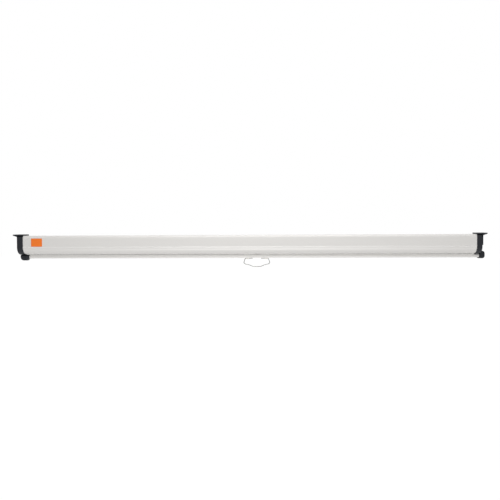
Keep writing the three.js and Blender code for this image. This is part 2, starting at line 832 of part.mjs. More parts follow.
// Clip: a saddle that holds the handle's wire up to the bar, with a base that is screwed to the bar
const handleClip = (x) => {
  const loop = wireRadius + fit + clipWall;
  const span = [x - clipWidth / 2, x + clipWidth / 2];
  const base = block(
    [span[0], barY - loop, barBottom - clipBaseThickness],
    [span[1], barY + clipBaseReach, barBottom],
  );
  const saddle = block([span[0], barY - loop, handleZ], [span[1], barY + loop, barBottom]);
  const whole = joined(alongX(circle(barY, handleZ, loop), span), saddle, base);
  const cutSpan = [span[0] - overrun, span[1] + overrun];
  const bore = wireRadius + fit;
  const screwHoleDepth = [barBottom - clipBaseThickness - overrun, barBottom + overrun];
  return geometryOf(cut(
    whole,
    alongX(circle(barY, handleZ, bore), cutSpan),
    block([cutSpan[0], barY - bore, handleZ], [cutSpan[1], barY + bore, barBottom + overrun]),
    block([cutSpan[0], barY - loop, barBottom], [cutSpan[1], barY + loop, barBottom + loop]),
    alongZ(circle(x, clipScrewY, clipScrewRadius + fit), screwHoleDepth, coarse),
  ));
};

const clipScrew = (x) => {
  const profile = [
    [0, -clipScrewHeadHeight],
    [clipScrewHead, -clipScrewHeadHeight],
    [clipScrewHead, 0],
    [clipScrewRadius, 0],
    [clipScrewRadius, clipScrewLength],
    [0, clipScrewLength],
  ];
  const screw = new THREE.LatheGeometry(profile.map(([r, h]) => new THREE.Vector2(r, h)), latheFacets);
  return screw.rotateX(Math.PI / 2).translate(x, clipScrewY, barBottom - clipBaseThickness);
};

// Route of the handle's wire in (x, z), with its corners rounded
const handleRoute = () => {
  const half = [
    [handleTipWidth / 2, 0],
    [handleTopHalf, 0],
    [handleWidth / 2, -handleShoulderDrop],
    [handleHipHalf, -handleHipDrop],
    [handleFoot / 2, -handleDrop],
  ];
  const corners = [...half, ...half.map(([x, z]) => [-x, z]).reverse()];
  const points = corners.map(([x, z]) => new THREE.Vector3(handleX + x, barY, handleZ + z));
  const route = [points[0]];
  for (let i = 1; i < points.length - 1; i += 1) {
    const before = points[i - 1].clone().sub(points[i]);
    const after = points[i + 1].clone().sub(points[i]);
    const back = Math.min(handleBend, before.length() / 2);
    const on = Math.min(handleBend, after.length() / 2);
    const start = points[i].clone().addScaledVector(before.normalize(), back);
    const end = points[i].clone().addScaledVector(after.normalize(), on);
    route.push(...new THREE.QuadraticBezierCurve3(start, points[i], end).getPoints(bendSteps));
  }
  route.push(points[points.length - 1]);
  return route;
};

const pullHandle = () => {
  const route = handleRoute();
  const rings = route.map((middle, i) => {
    const into = middle.clone().sub(route[Math.max(i - 1, 0)]);
    const out = route[Math.min(i + 1, route.length - 1)].clone().sub(middle);
    const along = into.normalize().add(out.normalize()).normalize();
    return { middle, across: along.clone().cross(yAxis), up: yAxis.clone().negate() };
  });
  return sweptTube(rings, wireRadius, wireSides);
};

piece('bar_profile', barProfile(), silver);
piece('hem_rod', hemRod(), steel);
piece('fabric_drop', fabricDrop(), screenBorder);
piece('bar_cap_left', barCapLeft(), black);
piece('bar_cap_right', barCapRight(), black);
for (const [name, x] of clipMiddles) {
  piece(`handle_clip_${name}`, handleClip(x), whitePlastic);
  piece(`clip_screw_${name}`, clipScrew(x), steel);
}
piece('pull_handle', pullHandle(), wireSteel);

export default group;
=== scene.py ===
"""Pull-down projector screen, wound up in its casing.

Lengths are in millimetres until a mesh is finished, and X runs along the casing.
"""
import json
import math
from contextlib import contextmanager

import bmesh
import bpy
from mathutils import Matrix, Vector


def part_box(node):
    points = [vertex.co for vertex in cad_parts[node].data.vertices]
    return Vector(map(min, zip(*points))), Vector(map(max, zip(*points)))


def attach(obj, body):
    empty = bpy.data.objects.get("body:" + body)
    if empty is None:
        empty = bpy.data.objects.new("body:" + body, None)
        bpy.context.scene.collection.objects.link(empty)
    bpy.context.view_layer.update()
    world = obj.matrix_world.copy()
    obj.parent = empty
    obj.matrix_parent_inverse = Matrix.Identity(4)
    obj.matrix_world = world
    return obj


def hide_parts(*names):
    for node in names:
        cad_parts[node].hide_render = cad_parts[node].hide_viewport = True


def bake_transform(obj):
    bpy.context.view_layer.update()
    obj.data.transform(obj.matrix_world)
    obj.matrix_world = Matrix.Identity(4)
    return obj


MM = 0.001
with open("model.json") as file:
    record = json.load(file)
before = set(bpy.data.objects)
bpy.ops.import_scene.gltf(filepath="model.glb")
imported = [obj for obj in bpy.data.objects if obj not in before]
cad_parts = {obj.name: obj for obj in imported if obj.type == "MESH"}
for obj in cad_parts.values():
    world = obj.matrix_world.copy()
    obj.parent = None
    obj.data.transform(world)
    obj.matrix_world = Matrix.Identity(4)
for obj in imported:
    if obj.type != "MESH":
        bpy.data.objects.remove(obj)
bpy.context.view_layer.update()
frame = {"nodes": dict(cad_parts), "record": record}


# Camera and lamps, in metres

LAMP_AIM = (0.05, 0, -0.05)


def linked(thing):
    bpy.context.scene.collection.objects.link(thing)
    return thing


def place_camera():
    """A lens a little longer than normal, nearly square to the casing and looking slightly down."""
    place, focal_length = (0.1323, -2.7, 0.038), 54.24
    yaw, pitch, roll = 0.046, -0.0361, -0.0047
    right = Vector((math.cos(yaw), math.sin(yaw), 0))
    level = Vector((-math.sin(yaw), math.cos(yaw), 0))
    up = Vector((0, 0, 1))
    ahead = level * math.cos(pitch) + up * math.sin(pitch)
    above = up * math.cos(pitch) - level * math.sin(pitch)
    across = right * math.cos(roll) + above * math.sin(roll)
    above = above * math.cos(roll) - right * math.sin(roll)
    turn = Matrix((across, above, -ahead)).transposed().to_4x4()
    data = bpy.data.cameras.new("camera")
    data.lens = focal_length
    camera = linked(bpy.data.objects.new("camera", data))
    camera.matrix_world = Matrix.Translation(place) @ turn
    bpy.context.scene.camera = camera


def soft_box(name, place, width, height, power):
    """A broad lamp that points at the casing and isn't seen itself."""
    data = bpy.data.lights.new(name, "AREA")
    data.shape = "RECTANGLE"
    data.size = width
    data.size_y = height
    data.energy = power
    lamp = linked(bpy.data.objects.new(name, data))
    lamp.location = place
    way = Vector(LAMP_AIM) - Vector(place)
    lamp.rotation_euler = way.to_track_quat("-Z", "Y").to_euler()
    lamp.visible_camera = False


place_camera()
soft_box("overhead_box", (0.05, -0.35, 1.5), width=1.5, height=0.8, power=18)
soft_box("key_box", (-0.05, -1.7, 0.85), width=1.2, height=0.5, power=7.5)
soft_box("low_box", (0.0, -1.65, -2.0), width=1.3, height=0.6, power=32)
bpy.context.scene.view_settings.view_transform = "Standard"


# Shader and geometry nodes

class Socket:
    """A node's output that takes part in sums."""

    def __init__(self, graph, socket):
        self.graph = graph
        self.socket = socket

    def maths(self, operation, first, second=None):
        values = {0: first} if second is None else {0: first, 1: second}
        return self.graph.node("ShaderNodeMath", {"operation": operation}, values)

    def __add__(self, other):
        return self.maths("ADD", self, other)

    def __sub__(self, other):
        return self.maths("SUBTRACT", self, other)

    def __rsub__(self, other):
        return self.maths("SUBTRACT", other, self)

    def __mul__(self, other):
        return self.maths("MULTIPLY", self, other)

    def __truediv__(self, other):
        return self.maths("DIVIDE", self, other)

    def __lt__(self, other):
        return self.maths("LESS_THAN", self, other)

    def __gt__(self, other):
        return self.maths("GREATER_THAN", self, other)

    def __abs__(self):
        return self.maths("ABSOLUTE", self)

    def clamped(self):
        return self.maths("MINIMUM", self.maths("MAXIMUM", self, 0.0), 1.0)


class Graph:
    """A node tree whose nodes are added one call at a time."""

    def __init__(self, tree):
        self.tree = tree

    def node(self, kind, settings=None, inputs=None, out=0):
        node = self.tree.nodes.new(kind)
        for key, value in (settings or {}).items():
            setattr(node, key, value)
        for key, value in (inputs or {}).items():
            if isinstance(value, Socket):
                self.tree.links.new(value.socket, node.inputs[key])
            else:
                node.inputs[key].default_value = value
        return Socket(self, node.outputs[out]) if node.outputs else node


def tone(code):
    """A colour written as six hexadecimal digits, made linear."""
    parts = [int(code[i:i + 2], 16) / 255 for i in (0, 2, 4)]
    return (*[c / 12.92 if c < 0.04045 else ((c + 0.055) / 1.055) ** 2.4 for c in parts], 1)


def socket_name(key):
    """The shader's own name for an input that is written as an argument."""
    return key.replace("_", " ").title().replace("Ior", "IOR")


class Finish(Graph):
    """A material made of one Principled shader over the object's own coordinates."""

    def __init__(self, name, **fixed):
        self.material = bpy.data.materials.new(name)
        self.material.use_nodes = True
        super().__init__(self.material.node_tree)
        self.tree.nodes.clear()
        self.shader = self.tree.nodes.new("ShaderNodeBsdfPrincipled")
        output = self.tree.nodes.new("ShaderNodeOutputMaterial")
        self.tree.links.new(self.shader.outputs[0], output.inputs[0])
        for key, value in fixed.items():
            self.shader.inputs[socket_name(key)].default_value = value

    def coordinates(self):
        return self.node("ShaderNodeTexCoord", out="Object")

    def axis(self, letter):
        """The object's own X, Y or Z, in metres."""
        return self.node("ShaderNodeSeparateXYZ", inputs={0: self.coordinates()}, out=letter)

    def noise(self, scale, detail=3.0, stretch=(1, 1, 1)):
        """Noise from 0 to 1 with this many features a metre, drawn out where stretch is small."""
        inputs = {"Vector": self.coordinates(), "Scale": stretch}
        spread = self.node("ShaderNodeMapping", inputs=inputs)
        inputs = {"Vector": spread, "Scale": scale, "Detail": detail}
        return self.node("ShaderNodeTexNoise", inputs=inputs)

    def mix(self, factor, first, second):
        """A blend of two colours."""
        inputs = {0: factor, 6: first, 7: second}
        return self.node("ShaderNodeMix", {"data_type": "RGBA"}, inputs, out=2)

    def feed(self, **sockets):
        for key, socket in sockets.items():
            self.tree.links.new(socket.socket, self.shader.inputs[socket_name(key)])
        return self

    def bump(self, height, depth, strength=0.5):
        """Relief of this depth in millimetres."""
        inputs = {"Height": height, "Distance": depth * MM, "Strength": strength}
        relief = self.node("ShaderNodeBump", inputs=inputs)
        return self.feed(normal=relief).material


def coated_aluminium():
    """Satin silver with faint drawing marks, smoother along the bead and bar top, where a painted
    highlight lightens the colour towards white.
    """
    finish = Finish("coated_aluminium", metallic=0.12)
    marks = finish.noise(1, 2.0, (3, 900, 900))
    cloud = finish.noise(2.5, 4.0, (0.4, 1, 1))
    grain = finish.noise(1800, 2.0)
    depth, height = finish.axis("Y"), finish.axis("Z")
    highlight_bands = ((BEAD_Z, 2.6), (BAR_HIGH.z - 1, 3.5))
    bead, rim = [1 - abs(height - z * MM) / (half * MM) for z, half in highlight_bands]
    front = depth < BAR_Y * MM
    bead, rim = bead.clamped() * front, (rim * 1.6).clamped() * front
    color = finish.mix(marks * 0.35 + cloud * 0.65, tone("d2d0cd"), tone("dddbd8"))
    # Painted highlight: the colour is lightened towards near-white along the bead and the bar's top
    # edge.
    finish.feed(base_color=finish.mix(bead * 0.3 + rim, color, tone("fbfaf8")))
    finish.feed(roughness=marks * 0.1 + grain * 0.06 - bead * 0.26 - rim * 0.22 + 0.42)
    return finish.bump(marks * 0.6 + grain * 0.4, 0.02, 0.25)


def moulding(name, dark, light, roughness, pits=1100, depth=0.06):
    """Moulded plastic with a spark-eroded grain."""
    finish = Finish(name, specular_ior_level=0.25)
    grain = finish.noise(pits, 3.0)
    cloud = finish.noise(45, 3.0)
    finish.feed(base_color=finish.mix(cloud * 0.7 + grain * 0.3, tone(dark), tone(light)))
    finish.feed(roughness=grain * 0.16 + cloud * 0.06 + (roughness - 0.1))
    return finish.bump(grain, depth, 0.45)


def powder_coat():
    """Black powder coat, with the shallow orange peel that it dries to."""
    finish = Finish("powder_coat", specular_ior_level=0.3)
    peel = finish.noise(620, 2.0)
    grain = finish.noise(2600, 2.0)
    finish.feed(base_color=finish.mix(peel * 0.6 + grain * 0.4, tone("1f2125"), tone("2b2d32")))
    finish.feed(roughness=grain * 0.14 + peel * 0.08 + 0.34)
    return finish.bump(peel * 0.7 + grain * 0.3, 0.05, 0.4)


def bare_metal(name, dark, light, roughness, stretch=(1, 1, 1)):
    """Plated or bare metal with fine drawing marks and a little staining."""
    finish = Finish(name)
    marks = finish.noise(1400, 3.0, stretch)
    stain = finish.noise(60, 4.0)
    finish.feed(base_color=finish.mix(stain * 0.6 + marks * 0.4, tone(dark), tone(light)))
    finish.feed(roughness=marks * 0.14 + stain * 0.08 + (roughness - 0.1))
    finish.feed(metallic=stain * 0.08 + 0.88)
    return finish.bump(marks, 0.02, 0.3)


def printed_label():
    """Plain orange film under a clear coat, a little deeper in colour at its rim."""
    finish = Finish("printed_label", coat_weight=0.12, coat_roughness=0.2)
    low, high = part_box("label_plate")
    spans = (("X", low.x, high.x), ("Z", low.z, high.z))
    from_side, from_edge = [
        1 - abs(finish.axis(letter) - (start + end) / 2) / ((end - start) / 2)
        for letter, start, end in spans
    ]
    rim = 1 - (from_side.maths("MINIMUM", from_side, from_edge) * 9).clamped()
    dots = finish.noise(2400, 1.0)
    fill = finish.mix(dots * 0.5 + finish.noise(40, 2.0) * 0.5, tone("ec700c"), tone("f27a14"))
    finish.feed(base_color=finish.mix(rim * 0.6, fill, tone("dc640a")))
    finish.feed(roughness=dots * 0.08 + 0.36)
    return finish.bump(dots, 0.01, 0.2)


# The printed cloth, in metres on the sheet as it is when lowered

CLOTH_HALF = 0.77
SIDE_BORDER = 0.03
FOOT_BORDER = 0.086
HEM_STRIP = 0.036
HEAD_START = 1.1


def screen_cloth():
    """Matt white vinyl with a fine weave and black borders, and grey at the rear."""
    finish = Finish("screen_cloth", sheen_weight=0.05)
    height, rear = [
        finish.node("ShaderNodeAttribute", {"attribute_name": name}, out="Fac")
        for name in ("height_above_hem", "rear_side")
    ]
    at_side = abs(finish.axis("X")) > CLOTH_HALF - SIDE_BORDER
    at_foot = (height < FOOT_BORDER) * (height > HEM_STRIP)
    at_head = height > HEAD_START
    border = (at_side + at_foot + at_head).clamped()
    weave = finish.noise(1500, 2.0)
    white = finish.mix(weave * 0.4 + finish.noise(6, 3.0) * 0.6, tone("e4e4e1"), tone("e9e9e7"))
    black = finish.mix(weave, tone("1b1b1d"), tone("26262a"))
    front = finish.mix(border, white, black)
    finish.feed(base_color=finish.mix(rear, front, tone("8d8d8f")))
    finish.feed(roughness=weave * 0.1 + 0.8)
    return finish.bump(weave, 0.06, 0.4)


# Outlines, as points in a plane

def arc(middle, radii, start, end, steps):
    """Points of an arc or of part of an ellipse, from one angle to another in degrees."""
    turns = [math.radians(start + (end - start) * i / steps) for i in range(steps + 1)]
    return [(middle[0] + radii[0] * math.cos(t), middle[1] + radii[1] * math.sin(t)) for t in turns]


def rounded_box(low, high, radius, steps=6):
    """A rectangle with round corners, from its lower right corner on."""
    points = []
    places = ((high[0], low[1]), high, (low[0], high[1]), low)
    for start, corner in zip((-90, 0, 90, 180), places):
        inside = [at - math.copysign(radius, at - edge - radius) for at, edge in zip(corner, low)]
        points += arc(inside, (radius, radius), start, start + 90, steps)
    return points


def softened(points):
    """A closed outline with its corners cut back twice, which stays inside the first."""
    for _ in range(2):
        cut = []
        for first, second in zip(points, points[1:] + points[:1]):
            cut.append(tuple(0.75 * a + 0.25 * b for a, b in zip(first, second)))
            cut.append(tuple(0.25 * a + 0.75 * b for a, b in zip(first, second)))
        points = cut
    return points


def box(node):
    """The lowest and highest corner of a CAD node, in millimetres."""
    low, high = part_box(node)
    return low / MM, high / MM


def middle_of(node):
    low, high = box(node)
    return (low + high) / 2


# Meshes

# Turns that take a mesh drawn in X and Y, and along Z, to the axis named.
ALONG_X = Matrix(((0, 0, 1, 0), (1, 0, 0, 0), (0, 1, 0, 0), (0, 0, 0, 1)))
ALONG_Y = Matrix(((1, 0, 0, 0), (0, 0, -1, 0), (0, 1, 0, 0), (0, 0, 0, 1)))


@contextmanager
def edited(mesh):
    """A mesh as one that bmesh can work on, written back at the end."""
    work = bmesh.new()
    work.from_mesh(mesh)
    yield work
    work.to_mesh(mesh)
    work.free()


def hosted(mesh):
    """A helper object that carries a mesh."""
    return linked(bpy.data.objects.new("host", mesh))


def taken(host, *helpers):
    """The mesh that an object's modifiers make of it. The object and its helpers are removed."""
    bpy.context.view_layer.update()
    depsgraph = bpy.context.evaluated_depsgraph_get()
    mesh = bpy.data.meshes.new_from_object(host.evaluated_get(depsgraph))
    for thing in (host, *helpers):
        bpy.data.objects.remove(thing)
    return mesh


def mesh_of(name, points, faces=(), edges=()):
    mesh = bpy.data.meshes.new(name)
    mesh.from_pydata([tuple(p) for p in points], list(edges), list(faces))
    return mesh


def loft(name, rings, closed=False):
    """A skin over rings of points, with flat ends unless it closes on itself."""
    count = len(rings[0])
    points = [p for ring in rings for p in ring]
    last = len(rings) if closed else len(rings) - 1
    faces = []
    for r in range(last):
        near, far = r * count, (r + 1) % len(rings) * count
        for i in range(count):
            j = (i + 1) % count
            faces.append((near + i, near + j, far + j, far + i))
    if not closed:
        faces.append(tuple(range(count))[::-1])
        faces.append(tuple(range(last * count, len(points))))
    return outward(mesh_of(name, points, faces))


def outward(mesh):
    """Merges doubled points and turns every face out."""
    with edited(mesh) as work:
        bmesh.ops.remove_doubles(work, verts=work.verts, dist=1e-4)
        bmesh.ops.recalc_face_normals(work, faces=work.faces)
    return mesh


def lathe(name, profile):
    """A turned shape about Z. The profile is (radius, height) and starts and ends on the axis."""
    steps, least_area = 24, 1e-9
    rings = []
    for i in range(steps):
        turn = 2 * math.pi * i / steps
        rings.append([(r * math.cos(turn), r * math.sin(turn), h) for r, h in profile])
    mesh = loft(name, rings, closed=True)
    with edited(mesh) as work:
        bmesh.ops.dissolve_degenerate(work, dist=1e-5, edges=work.edges)
        slivers = [f for f in work.faces if f.calc_area() < least_area]
        bmesh.ops.delete(work, geom=slivers, context="FACES_ONLY")
    return mesh


def merged(first, second):
    """The first mesh with the second added to it."""
    with edited(first) as work:
        work.from_mesh(second)
    return first


def piece(name, mesh, finish, slot, body, *nodes, turn=None, angle=35):
    """A finished mesh becomes a piece of this body and stands for these CAD nodes."""
    if turn:
        mesh.transform(turn)
    mesh.transform(Matrix.Scale(MM, 4))
    mesh.materials.clear()
    mesh.materials.append(finish)
    mesh.shade_smooth()
    mesh.set_sharp_from_angle(angle=math.radians(angle))
    thing = linked(bpy.data.objects.new(name, mesh))
    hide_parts(*nodes)
    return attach(thing, body) if body else thing


# Geometry node trees

def new_tree(name, **inputs):
    """A node tree with these inputs and a finish, and the socket of each."""
    tree = bpy.data.node_groups.new(name, "GeometryNodeTree")
    add = tree.interface.new_socket
    add(name="Geometry", in_out="OUTPUT", socket_type="NodeSocketGeometry")
    for key, kind in {"Geometry": "Geometry", **inputs, "Finish": "Material"}.items():
        add(name=key, in_out="INPUT", socket_type=f"NodeSocket{kind}")
    graph = Graph(tree)
    entry = tree.nodes.new("NodeGroupInput")
    return graph, {s.name: Socket(graph, s) for s in entry.outputs if s.name}


def end_tree(graph, geometry, finish):
    """Paints what a tree has made and sends it out."""
    inputs = {"Geometry": geometry, "Material": finish}
    painted = graph.node("GeometryNodeSetMaterial", inputs=inputs)
    whole = graph.node("GeometryNodeRealizeInstances", inputs={"Geometry": painted})
    graph.node("NodeGroupOutput", inputs={"Geometry": whole})
    return graph.tree


def join(graph, *parts):
    """Parts as one geometry, in this order."""
    gather = graph.tree.nodes.new("GeometryNodeJoinGeometry")
    for part in reversed(parts):
        graph.tree.links.new(part.socket, gather.inputs[0])
    return Socket(graph, gather.outputs[0])


def grown(tree, source, **sizes):
    """The plain mesh that a tree grows from a source mesh."""
    host = hosted(source)
    modifier = host.modifiers.new("grown", "NODES")
    modifier.node_group = tree
    for item in tree.interface.items_tree:
        if item.name in sizes:
            modifier[item.identifier] = sizes[item.name]
    return taken(host)


def swept(graph, curve, sides, radius):
    """A round wire along a curve, closed at both ends."""
    inputs = {"Resolution": sides, "Radius": radius}
    section = graph.node("GeometryNodeCurvePrimitiveCircle", inputs=inputs)
    inputs = {"Curve": curve, "Profile Curve": section, "Fill Caps": True}
    return graph.node("GeometryNodeCurveToMesh", inputs=inputs)


def extrusion_tree():
    """Fills closed outlines, holes included, and draws them out to a length."""
    graph, given = new_tree("extrusion", Length="Float")
    curves = graph.node("GeometryNodeMeshToCurve", inputs={0: given["Geometry"]})
    face = graph.node("GeometryNodeFillCurve", {"mode": "TRIANGLES"}, {0: curves})
    inputs = {"Mesh": face, "Offset Scale": given["Length"], "Individual": False}
    long = graph.node("GeometryNodeExtrudeMesh", inputs=inputs)
    start = graph.node("GeometryNodeFlipFaces", inputs={0: face})
    inputs = {"Geometry": join(graph, long, start), "Distance": 0.002}
    whole = graph.node("GeometryNodeMergeByDistance", inputs=inputs)
    return end_tree(graph, whole, given["Finish"])


def wire_tree():
    """Rounds the corners of a route and sweeps a wire along it."""
    graph, given = new_tree("wire", Bend="Float", Radius="Float", Sides="Int")
    route = graph.node("GeometryNodeMeshToCurve", inputs={0: given["Geometry"]})
    inputs = {"Curve": route, "Count": 10, "Radius": given["Bend"]}
    bent = graph.node("GeometryNodeFilletCurve", {"mode": "POLY"}, inputs)
    return end_tree(graph, swept(graph, bent, given["Sides"], given["Radius"]), given["Finish"])


def copies_tree():
    """Puts a copy of a piece at each point, turned as the point says."""
    graph, given = new_tree("copies", Piece="Object")
    inputs = {"Object": given["Piece"]}
    shape = graph.node("GeometryNodeObjectInfo", inputs=inputs, out="Geometry")
    settings = {"data_type": "FLOAT_VECTOR"}
    turn = graph.node("GeometryNodeInputNamedAttribute", settings, {"Name": "turn"})
    way = graph.node("FunctionNodeEulerToRotation", inputs={0: turn})
    inputs = {"Points": given["Geometry"], "Instance": shape, "Rotation": way}
    placed = graph.node("GeometryNodeInstanceOnPoints", inputs=inputs)
    return end_tree(graph, placed, given["Finish"])


def coil_tree():
    """A spring with open, square-cut ends."""
    sizes = dict(Turns="Float", Pitch="Float", Radius="Float", Wire="Float", Steps="Int")
    graph, given = new_tree("coil", **sizes)
    inputs = {"Resolution": given["Steps"], "Rotations": given["Turns"]}
    inputs |= {"Height": given["Turns"] * given["Pitch"]}
    inputs |= {"Start Radius": given["Radius"], "End Radius": given["Radius"]}
    spiral = graph.node("GeometryNodeCurveSpiral", inputs=inputs)
    return end_tree(graph, swept(graph, spiral, 12, given["Wire"]), given["Finish"])


def outlines(*loops):
    """Closed outlines as one mesh of edges in a plane."""
    points, edges = [], []
    for loop in loops:
        start, count = len(points), len(loop)
        points += [(a, b, 0) for a, b in loop]
        edges += [(start + i, start + (i + 1) % count) for i in range(count)]
    return mesh_of("outlines", points, edges=edges)


EXTRUSION = extrusion_tree()
WIRE = wire_tree()
COPIES = copies_tree()
COIL = coil_tree()


# Casing and end caps. A section is drawn in (y, z), with the front at low Y.

SHELL_LOW, SHELL_HIGH = box("casing_shell")
CAP_LOW, CAP_HIGH = box("end_cap_right")
TUBE_TOP = box("roller_tube")[1].z
AXIS = middle_of("roller_tube")
WALL = 1.6
BEAD = 1.0
BEAD_HALF = 2.3
FRONT = SHELL_LOW.y + BEAD
BACK = SHELL_HIGH.y
TOP = SHELL_HIGH.z
LIP_DROP = 1.5
BOTTOM = SHELL_LOW.z + LIP_DROP
SLOT = middle_of("fabric_drop").y
SLOT_HALF = 7.5
FACE_RADIUS = 9
BACK_RADIUS = 2
CURVE_DEPTH = 38.9
CURVE_HEIGHT = 25
BEAD_Z = BOTTOM + CURVE_HEIGHT
SCREW_HOLE = 1.7
FIT = 0.3


def casing_outline(grow, bead=0.0):
    """The casing's outside, moved out by grow: up its back, over the top and down the face."""
    corner = max(BACK_RADIUS + grow, FIT)
    inset = BACK_RADIUS + grow - corner
    back = BACK - BACK_RADIUS + inset
    heights = (BOTTOM + BACK_RADIUS - inset, TOP - BACK_RADIUS + inset)
    curve = (FRONT + CURVE_DEPTH, BEAD_Z)
    radii = (CURVE_DEPTH + grow, CURVE_HEIGHT + grow)
    points = arc((back, heights[0]), (corner, corner), -90, 0, 4)
    points += arc((back, heights[1]), (corner, corner), 0, 90, 4)
    radius = FACE_RADIUS + grow
    points += arc((FRONT + FACE_RADIUS, TOP - FACE_RADIUS), (radius, radius), 90, 180, 12)
    for out, up in arc((0, 0), (1, 1), 90, 270, 10):
        z = BEAD_Z + (BEAD_HALF + max(grow, 0) * (bead > 0)) * up
        below = min((z - BEAD_Z) / radii[1], 0)
        face = curve[0] - radii[0] * math.sqrt(1 - below ** 2)
        points.append((face + bead * out, z))
    below_bead = BEAD_HALF + 0.7
    first = 180 + math.degrees(math.asin(below_bead / radii[1]))
    return points + arc(curve, radii, first, 270, 22)


def casing_section():
    """The casing's wall as one outline, open at the slot, with two screw channels inside."""
    near, far = SLOT - SLOT_HALF, SLOT + SLOT_HALF
    lip = BOTTOM + 4
    channel, diagonal = 3.2, 135
    upper, lower = middle_of("case_screw_right_front"), middle_of("case_screw_right_back")
    face = (FRONT + FACE_RADIUS, TOP - FACE_RADIUS)
    inner = FACE_RADIUS - WALL
    away = math.dist(face, (upper.y, upper.z))
    spread = math.degrees(math.acos((inner ** 2 + away ** 2 - channel ** 2) / (2 * inner * away)))
    turn = math.degrees(math.acos((inner ** 2 - away ** 2 - channel ** 2) / (2 * away * channel)))
    reach = BACK - WALL - lower.y
    hook = math.degrees(math.acos(reach / channel))
    small = BACK_RADIUS - WALL
    back = BACK - BACK_RADIUS
    radii = (CURVE_DEPTH - WALL, CURVE_HEIGHT - WALL)
    inside = arc((FRONT + CURVE_DEPTH, BEAD_Z), radii, 270, 180, 24)
    inside += arc(face, (inner, inner), 180, diagonal + spread, 4)
    ends = (diagonal + turn, diagonal + 360 - turn)
    inside += arc((upper.y, upper.z), (channel, channel), *ends, 20)
    inside += arc(face, (inner, inner), diagonal - spread, 90, 4)
    inside += arc((back, TOP - BACK_RADIUS), (small, small), 90, 0, 3)
    inside += arc((lower.y, lower.z), (channel, channel), hook, 360 - hook, 20)
    inside += arc((back, BOTTOM + BACK_RADIUS), (small, small), 0, -90, 3)
    mouth_back = [(far + WALL, BOTTOM + WALL), (far + WALL, lip), (far, lip), (far, BOTTOM)]
    mouth_front = [(near, BOTTOM), (near, lip), (near - WALL, lip)]
    wall = casing_outline(0, BEAD) + mouth_front + inside + mouth_back
    holes = [arc((s.y, s.z), (SCREW_HOLE, SCREW_HOLE), 0, 345, 23) for s in (upper, lower)]
    return outlines(wall, *holes)


def drawn_out(section, start, end, finish):
    """A section in (y, z) as a solid from start to end along X."""
    mesh = grown(EXTRUSION, section, Length=end - start, Finish=finish)
    mesh.transform(Matrix.Translation((start, 0, 0)) @ ALONG_X)
    return mesh


def make_casing(finish):
    """The extrusion, and its two lips below it, which stop short of the end caps."""
    shell = drawn_out(casing_section(), SHELL_LOW.x, SHELL_HIGH.x, finish)
    low, high = BOTTOM - LIP_DROP, BOTTOM + FIT
    clear = 0.02
    starts = [y + clear for y in (SLOT - SLOT_HALF - WALL, SLOT + SLOT_HALF)]
    ends = [y + WALL - 2 * clear for y in starts]
    lips = outlines(*[rounded_box((y, low), (end, high), 0.4) for y, end in zip(starts, ends)])
    end = CAP_LOW.x - FIT
    mesh = merged(shell, drawn_out(lips, -end, end, finish))
    return piece("casing", mesh, finish, "silver_case", "casing", "casing_shell", angle=28)


def cap_ring(x, grow, bead=0.0):
    return [(x, y, z) for y, z in casing_outline(grow, bead)]


def axle_ring(x, radius):
    """A ring about the roller's axis, each point in line with one of the casing's outline."""
    ring = []
    for y, z in casing_outline(0):
        turn = math.atan2(z - AXIS.z, y - AXIS.y)
        ring.append((x, AXIS.y + radius * math.cos(turn), AXIS.z + radius * math.sin(turn)))
    return ring


def make_end_cap(side, finish, bore):
    """A moulded cup with a rim over the casing, a line round it and a boss for the roller."""
    inner, outer, seat = CAP_LOW.x, CAP_HIGH.x, SHELL_HIGH.x + FIT
    floor, boss, boss_radius = outer - 3, SHELL_HIGH.x + 1, 9
    proud, eased_edge, hollow, line = 1.5, 2.4, -2.3, 1.1
    rings = [
        axle_ring(floor, bore),
        axle_ring(boss, bore),
        axle_ring(boss, boss_radius),
        axle_ring(floor, boss_radius),
        cap_ring(floor, hollow),
        cap_ring(seat, hollow),
        cap_ring(seat, FIT, BEAD),
        cap_ring(inner, FIT, BEAD),
        cap_ring(inner, 1.2),
        cap_ring(inner + 0.3, proud),
        cap_ring(inner + 5.6, proud),
        cap_ring(inner + 5.8, line),
        cap_ring(inner + 6.4, line),
        cap_ring(inner + 6.6, proud),
    ]
    for across, grow in arc((outer - eased_edge, proud - eased_edge), (eased_edge,) * 2, 90, 0, 6):
        rings.append(cap_ring(across, grow))
    rings += [cap_ring(outer, -3.4), cap_ring(outer - 0.4, -3.8)]
    mesh = loft("end_cap", rings)
    if side < 0:
        mesh.transform(Matrix.Scale(-1, 4, (1, 0, 0)))
    name = "left" if side < 0 else "right"
    mesh = outward(mesh)
    node = f"end_cap_{name}"
    return piece(f"moulded_end_{name}", mesh, finish, "black_moulding", "casing", node)


# Bottom bar and its caps

BAR_LOW, BAR_HIGH = box("bar_profile")
BAR_Y = (BAR_LOW.y + BAR_HIGH.y) / 2


def bar_outline(inset):
    """The bar's outside, moved in by inset: down its front and up its back."""
    # Half width and depth, each as a share of the whole, from the top down.
    shares = [(0.68, 0), (0.84, 0.14), (1, 0.42), (0.95, 0.72), (0.82, 0.92), (0.66, 1)]
    half = (BAR_HIGH.y - BAR_LOW.y) / 2 - inset
    tall = BAR_HIGH.z - BAR_LOW.z - 2 * inset
    front = [(BAR_Y - half * out, BAR_HIGH.z - inset - tall * down) for out, down in shares]
    return front + [(2 * BAR_Y - y, z) for y, z in reversed(front)]


